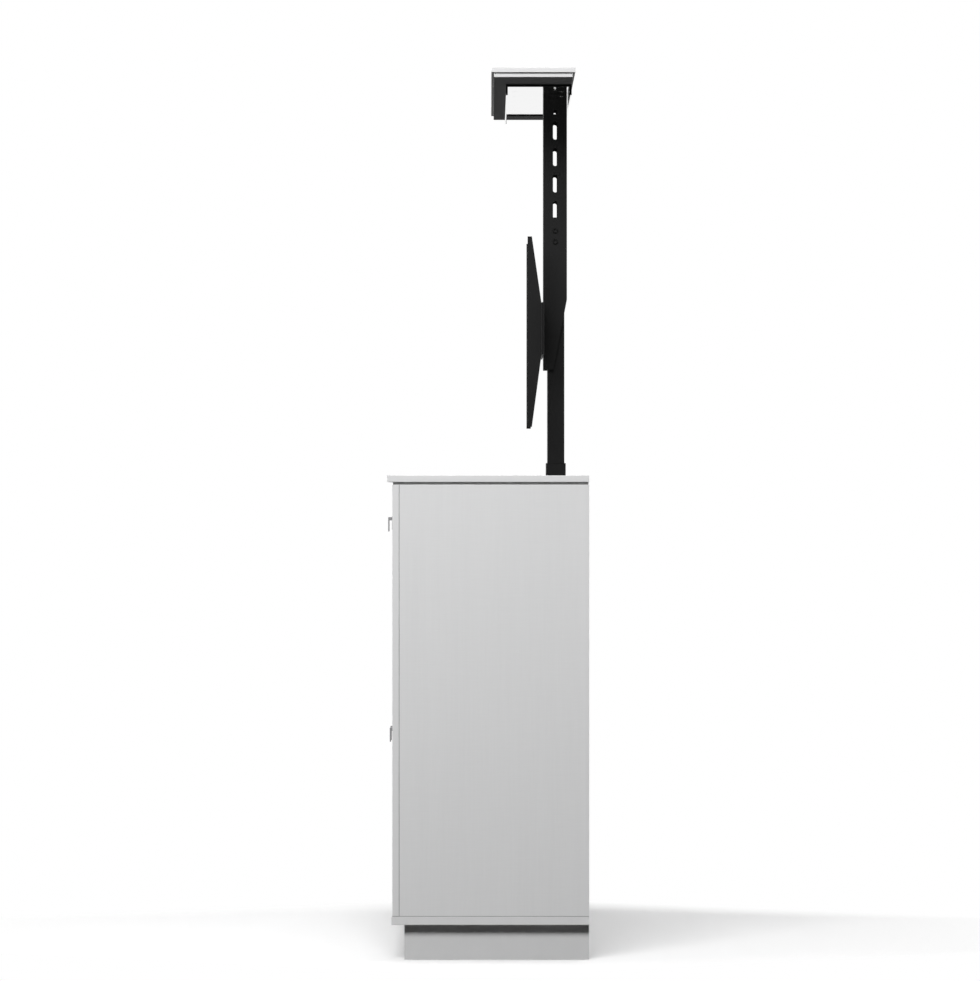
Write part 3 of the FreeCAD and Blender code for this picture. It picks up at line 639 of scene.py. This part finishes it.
class CABINET_OT_lid_screws(bpy.types.Operator):
    """Flush screws that hold the tray and the mast's head to the lid"""

    bl_idname = "cabinet.lid_screws"
    bl_label = "Lid screws"

    def execute(self, context):
        sizes = context.scene.cabinet_fittings
        low, high = corners("lid_tray")
        middle = (low + high) / 2
        end, row, head_x, head_y, head_sheet = 0.035, 0.055, 0.045, 0.015, 0.003
        shank, reach = 0.0025, 0.0088
        steps = np.array([-3, -2, -1, 1, 2, 3]) * ((high[0] - low[0]) / 2 - end) / 3
        web = high[2] - TRAY_SHEET
        origins = [(x, middle[1] + y, web) for x in steps for y in (-row, row)]
        column = sum(corners("inner_tube")) / 2
        under = web - head_sheet
        head = [(x, column[1] + y, under) for x in (-head_x, head_x) for y in (-head_y, head_y)]
        grid = flush_head(sizes.screw_head, sizes.screw_height, shank, reach)
        metals = context.scene.cabinet_metals
        bright = metal_finish("bright_screw", metals.plate, 0.06, "X", 0.02)
        dark = coat_finish("black_screw", metals.coat, 0.4)
        groups = (("tray_screw_heads", origins, bright), ("mast_screw_heads", head, dark))
        for name, places, look in groups:
            sheets = [(copy, True) for copy in placed(grid, places, [(0, 0, -1)] * len(places))]
            piece = skin(name, sheets, "top_stage", look, smooth=False)
            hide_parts("lid_screws")
        return {"FINISHED"}


class CABINET_OT_tray_trims(bpy.types.Operator):
    """Black trims over the cut ends of the tray"""

    bl_idname = "cabinet.tray_trims"
    bl_label = "Tray trims"

    def execute(self, context):
        low, high = corners("lid_tray")
        sheet, grip, cover, rim, proud = TRAY_SHEET, 0.002, 0.0026, 0.0012, 0.0012
        # the section of the tray's end, walked from one foot over the web to the other, inside then outside
        inner = [
            (low[1] + sheet + rim, low[2]),
            (low[1] + sheet + rim, high[2] - sheet - cover),
            (high[1] - sheet - rim, high[2] - sheet - cover),
            (high[1] - sheet - rim, low[2]),
        ]
        outer = [(low[1], low[2]), (low[1], high[2]), (high[1], high[2]), (high[1], low[2])]
        loop = np.array(inner + outer[::-1])
        black = plastic_finish("trim_plastic", (0.014, 0.014, 0.0142), 0.6, gloss=0.05)
        sheets = []
        for end, way in ((low[0], -1), (high[0], 1)):
            steps = end + way * np.array([-grip, proud])
            rings = [np.insert(loop, 0, x, axis=1) for x in steps]
            sheets.append((np.stack(rings), True))
            for ring in rings:
                sheets.append((np.stack([ring[:4], ring[:3:-1]]), False))
        skin("tray_end_trims", sheets, "top_stage", black)
        return {"FINISHED"}


class CABINET_OT_lift_screw(bpy.types.Operator):
    """Screw of the lift, with its threads"""

    bl_idname = "cabinet.lift_screw"
    bl_label = "Lift screw"

    def execute(self, context):
        sizes = context.scene.cabinet_fittings
        low, high = corners("lift_screw")
        middle, radius = (low + high) / 2, (high[0] - low[0]) / 2
        height = np.linspace(low[2], high[2], 900)[:, None]
        angle = np.linspace(0, 2 * np.pi, 40, endpoint=False)[None]
        # the phase runs once for each thread met along the axis, and the thread has flat tops and roots
        phase = height * sizes.starts / sizes.lead - angle * sizes.starts / (2 * np.pi)
        ridge = np.clip(1.6 * np.abs(2 * (phase % 1.0) - 1) - 0.3, 0, 1)
        foot, tip, neck, depth = 0.024, 0.004, 0.0012, 0.0016
        plain = (height < low[2] + foot) | (height > high[2] - tip)
        reach = radius - np.where(plain, neck, depth * (1 - ridge))
        reach = np.where((height == low[2]) | (height == high[2]), 0.0, reach)
        wall = (middle[0] + reach * np.cos(angle), middle[1] + reach * np.sin(angle), height + 0 * angle)
        steel = metal_finish("screw_steel", (0.5, 0.5, 0.5), 0.28, "Z")
        piece = skin("threaded_screw", [(np.stack(wall, axis=-1), True)], "screw", steel)
        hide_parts("lift_screw")
        return {"FINISHED"}


class CABINET_OT_motor(bpy.types.Operator):
    """Ribbed motor that stands on the gearbox"""

    bl_idname = "cabinet.motor"
    bl_label = "Motor"

    def execute(self, context):
        sizes = context.scene.cabinet_fittings
        low, high = corners("lift_motor")
        middle, radius, tall = (low + high) / 2, (high[0] - low[0]) / 2, high[2] - low[2]
        turns = 8 * sizes.motor_ribs
        angle = np.linspace(0, 2 * np.pi, turns, endpoint=False)
        groove = 0.0022
        ribs = radius - groove * (np.cos(sizes.motor_ribs * angle) > 0.2)
        profile = [
            (0.0, 0.0),
            (radius, 0.0),
            (radius, 0.012),
            (0.97 * radius, 0.0135),
            (ribs, 0.015),
            (ribs, 0.78 * tall),
            (0.97 * radius, 0.79 * tall),
            (radius, 0.80 * tall),
            (radius, 0.90 * tall),
            (0.92 * radius, 0.93 * tall),
            (0.90 * radius, 0.93 * tall),
            (0.88 * radius, 0.985 * tall),
            (0.80 * radius, tall),
            (0.30 * radius, tall),
            (0.28 * radius, 0.985 * tall),
            (0.0, 0.985 * tall),
        ]
        grid = lathe(profile, turns) + np.array([middle[0], middle[1], low[2]])
        coat = coat_finish("motor_coat", (0.03, 0.03, 0.032), 0.4)
        piece = skin("ribbed_motor", [(grid, True)], "carcass", coat)
        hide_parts("lift_motor")
        return {"FINISHED"}


class CABINET_OT_control_box(bpy.types.Operator):
    """Cover of the control box, with rounded edges and a row of vents"""

    bl_idname = "cabinet.control_box"
    bl_label = "Control box"

    def execute(self, context):
        low, high = corners("control_box")
        across = np.linspace(low[0], high[0], 341)
        deep = np.linspace(low[1], high[1], 63)
        x, y = np.meshgrid(across, deep, indexing="ij")
        # height falls off in a quarter round at the rim, and vents are sunk in bars across the middle
        rim = np.minimum.reduce([x - low[0], high[0] - x, y - low[1], high[1] - y])
        ease, vent_half, vent_start, vent_end = 0.005, 0.017, 0.03, 0.06
        vent_depth, vent_pitch, vent_width = 0.003, 0.009, 0.0045
        drop = ease - np.sqrt(np.maximum(0.0, ease**2 - np.maximum(0.0, ease - rim) ** 2))
        inside = np.abs(y - (low[1] + high[1]) / 2) < vent_half
        inside &= (x > low[0] + vent_start) & (x < high[0] - vent_end)
        vents = vent_depth * (inside & ((x - low[0]) % vent_pitch < vent_width))
        z = high[2] - drop - vents
        edge = rim < 1e-7
        z[edge] = low[2]
        black = plastic_finish("control_plastic", (0.022, 0.022, 0.023), 0.48)
        floor_x, floor_y = np.meshgrid((low[0], high[0]), (low[1], high[1]), indexing="ij")
        floor = np.stack([floor_x, floor_y, np.full((2, 2), low[2])], axis=-1)
        sheets = [(np.stack([x, y, z], axis=-1), False), (floor, False)]
        piece = skin("control_cover", sheets, "carcass", black)
        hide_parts("control_box")
        return {"FINISHED"}


def rounded_loop(half_x, half_y, radius, count=12):
    """Points round a rectangle with quarter-round corners, and the outward direction at each."""
    turn = np.linspace(0, np.pi / 2, count)
    angle = (np.arange(4)[:, None] * np.pi / 2 + turn).reshape(-1)
    signs = np.repeat(np.array([[1, 1], [-1, 1], [-1, -1], [1, -1]]), count, axis=0)
    out = np.stack([np.cos(angle), np.sin(angle)], axis=-1)
    return signs * np.array([half_x - radius, half_y - radius]) + radius * out, out


class CABINET_OT_tube_guides(bpy.types.Operator):
    """Guide frames on the mouths of the outer and middle tube"""

    bl_idname = "cabinet.tube_guides"
    bl_label = "Tube guides"

    def execute(self, context):
        black = plastic_finish("guide_plastic", (0.004, 0.004, 0.0041), 0.5, gloss=0.08)
        for node, wall, body in (("outer_tube", 0.0025, "carcass"), ("middle_tube", 0.0028, "middle_stage")):
            low, high = corners(node)
            middle, half = (low + high) / 2, (high - low) / 2
            inset, corner, rise, ease = 0.0001, 0.003, 0.0025, 0.0006
            loop, out = rounded_loop(half[0] - inset, half[1] - inset, corner)
            # the section is a low bar with eased upper edges, from the tube's wall to just inside it
            shoulder = 0.0018
            rim = [(0, shoulder), (ease, rise), (wall - ease, rise), (wall, shoulder)]
            section = [(0, 0), *rim, (wall, 0), (0, 0)]
            rings = [np.insert(loop - across * out, 2, height, axis=1) for across, height in section]
            grid = np.stack(rings) + np.array([middle[0], middle[1], high[2]])
            skin(f"{node}_guide", [(grid, True)], body, black)
        return {"FINISHED"}


class CABINET_OT_strike_plates(bpy.types.Operator):
    """Thin steel plates on the backs of the doors, which the catches hold"""

    bl_idname = "cabinet.strike_plates"
    bl_label = "Strike plates"

    def execute(self, context):
        zinc = metal_finish("strike_steel", (0.55, 0.55, 0.56), 0.32, "X")
        low, high = corners("door_catches")
        catch_half, door_edge = 0.021, 0.047
        catches = {"left": low[0] + catch_half, "right": high[0] - catch_half}
        catches["middle"] = corners("door_middle")[1][0] - door_edge
        for column in COLUMNS:
            door_high = corners(f"door_{column}")[1]
            half_x, half_z, corner, thick, drop = 0.017, 0.0042, 0.0015, 0.0002, 0.0045
            loop, out = rounded_loop(half_x, half_z, corner, 6)
            # each plate is that loop, raised along Y, eased at its rim and drawn in to a line at its middle
            rings = [(0.0, 0.0), (0.0, 0.75 * thick), (0.0003, thick), (half_z, thick)]
            grid = np.stack([np.insert(loop - inset * out, 1, rise, axis=1) for inset, rise in rings])
            grid[-1, :, 2] = 0
            grid += np.array([catches[column], door_high[1], door_high[2] - drop])
            skin(f"strike_plate_{column}", [(grid, True)], f"{column}_door", zinc)
        return {"FINISHED"}


class CABINET_OT_fixings(bpy.types.Operator):
    """Screws that show on the base plate and round the back panel"""

    bl_idname = "cabinet.fixings"
    bl_label = "Fixings"

    def execute(self, context):
        zinc = metal_finish("fixing_zinc", (0.6, 0.6, 0.61), 0.3, "Z")
        low, high = corners("lift_base_plate")
        end, side = 0.014, 0.012
        across = (low[1] + side, high[1] - side)
        origins = [(x, y, high[2]) for x in (low[0] + end, high[0] - end) for y in across]
        head = socket_head(radius=0.006, height=0.004, shank=0.003, reach=0.0005)
        sheets = [(grid, True) for grid in placed(head, origins, [(0, 0, 1)] * len(origins))]
        skin("base_screws", sheets, "carcass", zinc)
        low, high = corners("back_panel")
        edge = 0.009
        along = np.linspace(low[0] + edge, high[0] - edge, 9)
        up = np.linspace(low[2] + edge, high[2] - edge, 7)[1:-1]
        origins = [(x, high[1], z) for x in along for z in (low[2] + edge, high[2] - edge)]
        origins += [(x, high[1], z) for x in (low[0] + edge, high[0] - edge) for z in up]
        proud = 0.00004
        flat = flush_head(radius=0.0042, height=0.0006, shank=0.002, reach=0.0016, turns=24)
        flat += np.array([0, 0, proud])
        sheets = [(grid, True) for grid in placed(flat, origins, [(0, 1, 0)] * len(origins))]
        skin("back_screws", sheets, "carcass", zinc)
        return {"FINISHED"}


# Stage


def aimed_light(name, place, target, size, power):
    """A rectangular area light at a place, turned to face a target."""
    light = bpy.data.lights.new(name, "AREA")
    light.shape = "RECTANGLE"
    light.size, light.size_y = size
    light.energy = power
    lamp = bpy.data.objects.new(name, light)
    bpy.context.scene.collection.objects.link(lamp)
    lamp.location = place
    way = lamp.location - type(lamp.location)(target)
    lamp.rotation_euler = way.to_track_quat("Z", "Y").to_euler()
    return lamp


class CABINET_OT_stage(bpy.types.Operator):
    """Pale floor, soft lights, white surroundings and the camera"""

    bl_idname = "cabinet.stage"
    bl_label = "Stage"

    def execute(self, context):
        scene = context.scene
        studio = scene.cabinet_studio
        scene.view_settings.view_transform = "Standard"
        self.surroundings(scene, studio)
        self.floor(scene, studio)
        over, waist, fill_size = (0, -0.3, 0), (0, 0, 0.9), (3.0, 1.6)
        near_side = (0.75, 0, 0.4)
        top = aimed_light("top_light", (0, -0.3, 3.8), over, size=(6.0, 4.6), power=studio.top)
        top.data.spread = math.radians(80)
        aimed_light("front_light", (-2, -6.2, 1), waist, fill_size, studio.fill)
        aimed_light("back_light", (-2, 6.2, 1), waist, fill_size, studio.fill)
        aimed_light("side_light", (4.8, -0.9, 3.3), near_side, size=(2.6, 1.4), power=studio.side)
        camera = bpy.data.cameras.new("camera")
        camera.sensor_fit = "HORIZONTAL"
        camera.sensor_width = 36.0
        camera.lens = studio.focal * camera.sensor_width
        camera.clip_end = 200.0
        view = bpy.data.objects.new("camera", camera)
        scene.collection.objects.link(view)
        view.location = (CAD_BOX[1][0] + studio.distance, studio.offset, studio.height)
        view.rotation_euler = (math.pi / 2, 0, math.pi / 2)
        scene.camera = view
        return {"FINISHED"}

    def seen(self, weave):
        """1 for what the camera, gloss and glass see, and 0 for light that falls on the object."""
        path = weave.add("ShaderNodeLightPath")
        rays = [path.outputs[name] for name in ("Is Camera Ray", "Is Glossy Ray", "Is Transmission Ray")]
        return weave.sum("MAXIMUM", weave.sum("MAXIMUM", rays[0], rays[1]), rays[2])

    def surroundings(self, scene, studio):
        world = bpy.data.worlds.new("surroundings")
        scene.world = world
        world.use_nodes = True
        world.node_tree.nodes.clear()
        weave = Weave(world.node_tree)
        white = weave.add("ShaderNodeBackground", Color=(1, 1, 1, 1), Strength=1.0)
        # the unseen light grows with the square of how far a direction points to the far side
        toward = weave.add("ShaderNodeSeparateXYZ", weave.place).outputs[0]
        far = weave.sum("MAXIMUM", weave.sum("MULTIPLY", toward, -1.0), 0.0)
        glow = weave.sum("MULTIPLY_ADD", weave.sum("MULTIPLY", far, far), studio.far_sky, studio.sky)
        sky = weave.add("ShaderNodeBackground", Color=(1, 1, 1, 1), Strength=glow)
        mix = weave.add("ShaderNodeMixShader", self.seen(weave), sky.outputs[0], white.outputs[0])
        weave.add("ShaderNodeOutputWorld", mix.outputs[0])

    def floor(self, scene, studio):
        reach, drop = 30.0, 0.0004
        x, y = np.meshgrid((-reach, reach), (-reach, reach), indexing="ij")
        mesh = bpy.data.meshes.new("floor")
        points = np.stack([x, y, np.full_like(x, -drop)], axis=-1).reshape(-1, 3)
        mesh.from_pydata(points, [], [(0, 2, 3, 1)])
        floor = bpy.data.objects.new("floor", mesh)
        scene.collection.objects.link(floor)
        material = bpy.data.materials.new("floor_white")
        material.use_nodes = True
        material.node_tree.nodes.clear()
        weave = Weave(material.node_tree)
        # the floor turns to plain white away from the object, in a wedge that narrows to the front and back
        split = weave.add("ShaderNodeSeparateXYZ", weave.place)
        along, across = [weave.sum("ABSOLUTE", split.outputs[number]) for number in (0, 1)]
        wedge = weave.range(weave.sum("MULTIPLY_ADD", across, 0.55, along), 0.0, 1.0, 0.93, 1.2)
        clear = weave.sum("MAXIMUM", wedge, weave.range(across, 0.0, 1.0, 0.75, 1.35))
        paper = weave.add("ShaderNodeBsdfDiffuse", Color=(0.93, 0.93, 0.93, 1))
        glow = weave.add("ShaderNodeEmission", Color=(1, 1, 1, 1), Strength=studio.floor_glow)
        near = weave.add("ShaderNodeAddShader", paper.outputs[0], glow.outputs[0])
        white = weave.add("ShaderNodeEmission", Color=(1, 1, 1, 1), Strength=1.0)
        shown = weave.add("ShaderNodeMixShader", clear, near.outputs[0], white.outputs[0])
        light = weave.add("ShaderNodeBsdfDiffuse", Color=(0.02, 0.02, 0.02, 1))
        both = weave.add("ShaderNodeMixShader", self.seen(weave), light.outputs[0], shown.outputs[0])
        weave.add("ShaderNodeOutputMaterial", both.outputs[0])
        mesh.materials.append(material)


class CABINET_PT_panel(bpy.types.Panel):
    """Sizes, colours and steps of the cabinet"""

    bl_idname = "CABINET_PT_panel"
    bl_label = "TV lift cabinet"
    bl_space_type = "VIEW_3D"
    bl_region_type = "UI"
    bl_category = "Cabinet"

    def draw(self, context):
        for label, name in GROUPS:
            box = self.layout.box()
            box.label(text=label)
            group = getattr(context.scene, name)
            for prop in group.__annotations__:
                box.prop(group, prop)
        for step in STEPS:
            self.layout.operator(step.bl_idname)


GROUPS = (
    ("Boards", "cabinet_boards"),
    ("Metals", "cabinet_metals"),
    ("Fittings", "cabinet_fittings"),
    ("Studio", "cabinet_studio"),
)
SETTINGS = (BoardFinish, MetalFinish, FittingSizes, StudioSetup)
STEPS = (
    CABINET_OT_white_boards,
    CABINET_OT_inner_boards,
    CABINET_OT_metalwork,
    CABINET_OT_plastics,
    CABINET_OT_bolts,
    CABINET_OT_plate_caps,
    CABINET_OT_lid_screws,
    CABINET_OT_tray_trims,
    CABINET_OT_lift_screw,
    CABINET_OT_motor,
    CABINET_OT_control_box,
    CABINET_OT_tube_guides,
    CABINET_OT_strike_plates,
    CABINET_OT_fixings,
    CABINET_OT_stage,
)


def register():
    for cls in (*SETTINGS, *STEPS, CABINET_PT_panel):
        bpy.utils.register_class(cls)
    for (_, name), group in zip(GROUPS, SETTINGS):
        setattr(bpy.types.Scene, name, PointerProperty(type=group))


def unregister():
    for _, name in GROUPS:
        delattr(bpy.types.Scene, name)
    for cls in (CABINET_PT_panel, *reversed(STEPS), *reversed(SETTINGS)):
        bpy.utils.unregister_class(cls)


def main():
    register()
    for step in STEPS:
        family, name = step.bl_idname.split(".")
        getattr(getattr(bpy.ops, family), name)()


if __name__ == "__main__":
    main()
